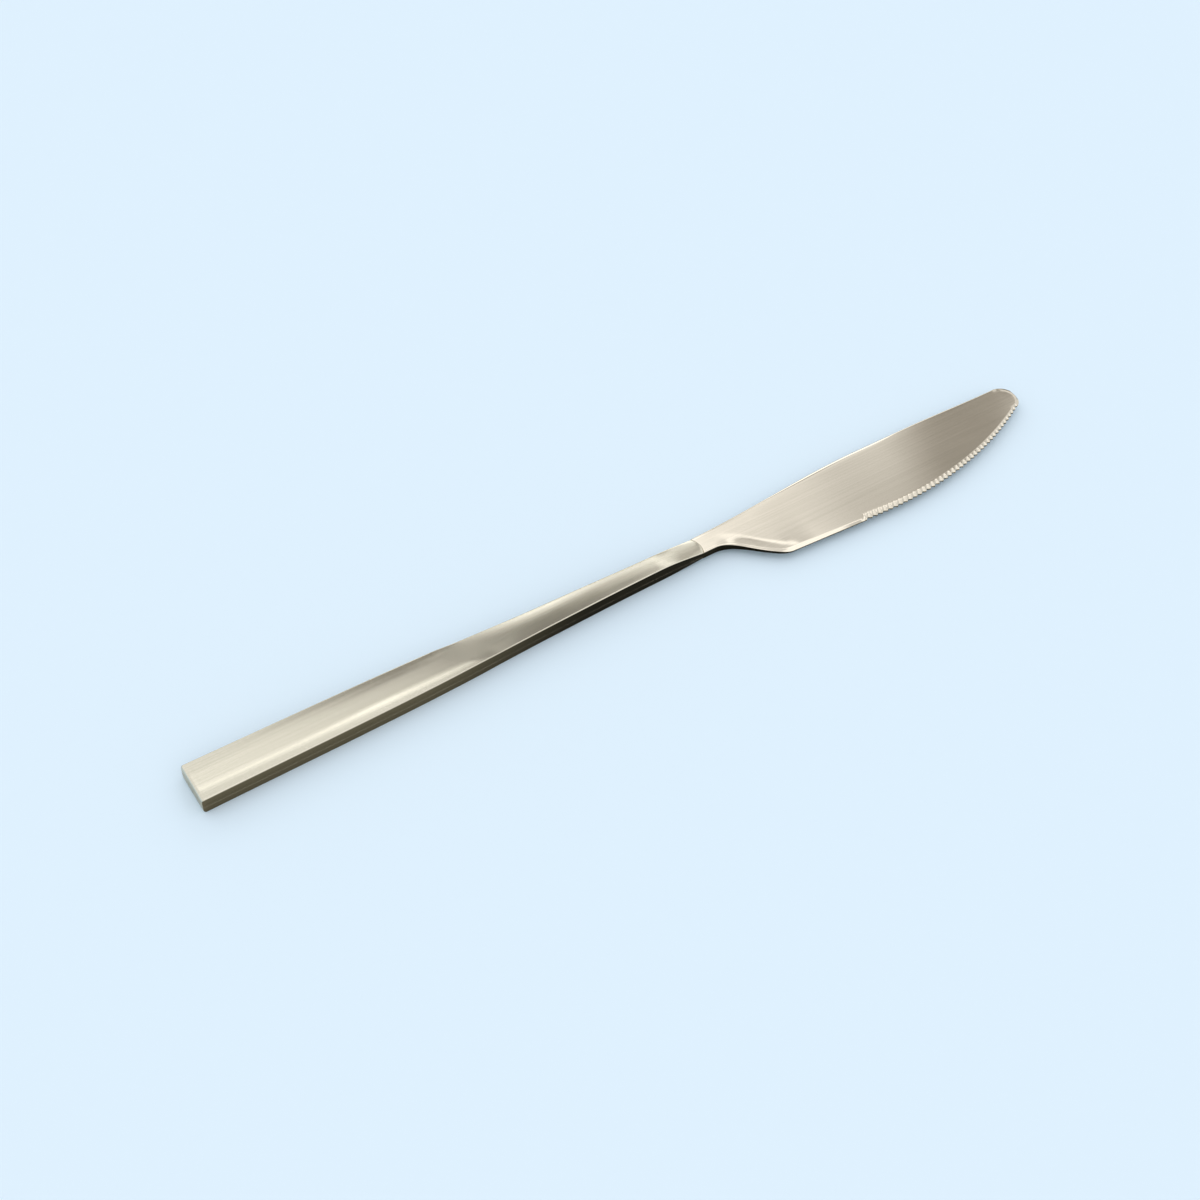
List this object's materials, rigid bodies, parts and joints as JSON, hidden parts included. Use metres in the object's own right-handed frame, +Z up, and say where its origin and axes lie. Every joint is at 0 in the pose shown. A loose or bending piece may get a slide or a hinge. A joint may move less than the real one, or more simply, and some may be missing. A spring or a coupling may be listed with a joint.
{
  "type": "table knife",
  "caption": "Slim table knife: a thin round-tipped steel blade with a finely serrated edge, set in a brushed steel handle that tapers from a square butt to a narrow neck.",
  "frame": {"origin": "on the handle's lower broad face, on the handle's centre line, halfway between the butt and the mouth of the handle", "axes": "+X from the butt to the tip, +Y towards the spine, +Z up, away from the face that the knife rests on"},
  "size_m": [0.23, 0.0198, 0.0042],
  "materials": {
    "blade_steel": "satin",
    "handle_steel": "satin",
    "weld_steel": "satin",
    "cement": "matte"
  },
  "bodies": {
    "root": {"blade": "blade_steel", "handle_shell_upper": "handle_steel", "handle_shell_lower": "handle_steel", "seam_weld": "weld_steel", "tang_cement": "cement"}
  },
  "joints": []
}
